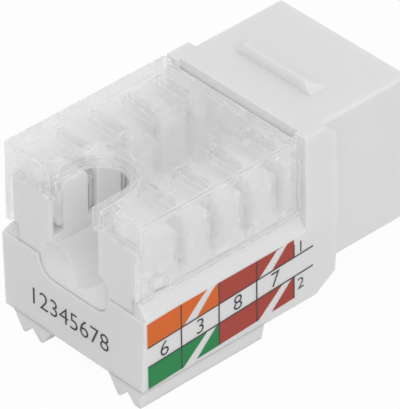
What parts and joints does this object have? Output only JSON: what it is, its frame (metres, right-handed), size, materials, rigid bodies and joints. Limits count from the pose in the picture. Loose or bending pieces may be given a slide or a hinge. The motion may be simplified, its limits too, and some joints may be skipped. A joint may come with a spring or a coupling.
{
  "type": "keystone jack",
  "caption": "Punch-down network socket insert with a snap-in port block, wire slots in two rows, a clear lift-off cap, a sprung release latch and a colour-coded side.",
  "frame": {"origin": "middle of the bounding box at the level of the feet", "axes": "+Y out of the port, +X towards the labelled side, +Z towards the clear cap"},
  "size_m": [0.0166, 0.0294, 0.0186],
  "materials": {
    "housing_white": "satin white moulding",
    "block_white": "satin white moulding",
    "cap_clear": "clear polished moulding",
    "carrier_white": "plain moulding",
    "board_green": "solder mask",
    "fork_tin": "tin plate",
    "contact_gold": "gold plate"
  },
  "bodies": {
    "housing": {"jack_housing": "housing_white", "terminal_block": "block_white", "base_cover": "housing_white", "circuit_board": "board_green", "contact_carrier": "carrier_white", "idc_contact_1": "fork_tin", "idc_contact_2": "fork_tin", "idc_contact_3": "fork_tin", "idc_contact_4": "fork_tin", "idc_contact_5": "fork_tin", "idc_contact_6": "fork_tin", "idc_contact_7": "fork_tin", "idc_contact_8": "fork_tin", "port_contact_1": "contact_gold", "port_contact_2": "contact_gold", "port_contact_3": "contact_gold", "port_contact_4": "contact_gold", "port_contact_5": "contact_gold", "port_contact_6": "contact_gold", "port_contact_7": "contact_gold", "port_contact_8": "contact_gold"},
    "cap": {"dust_cap": "cap_clear"},
    "latch": {"release_latch": "housing_white"}
  },
  "joints": [
    {"name": "cap_lift", "type": "slide", "parent": "housing", "child": "cap", "axis": [0, 0, 1], "range_m": [0, 0.0075]},
    {"name": "latch_press", "type": "hinge", "parent": "housing", "child": "latch", "pos_m": [0, 0.0132, 0.003], "axis": [-1, 0, 0], "range_deg": [0, 12], "stiffness_Nm_per_rad": 0.05}
  ]
}
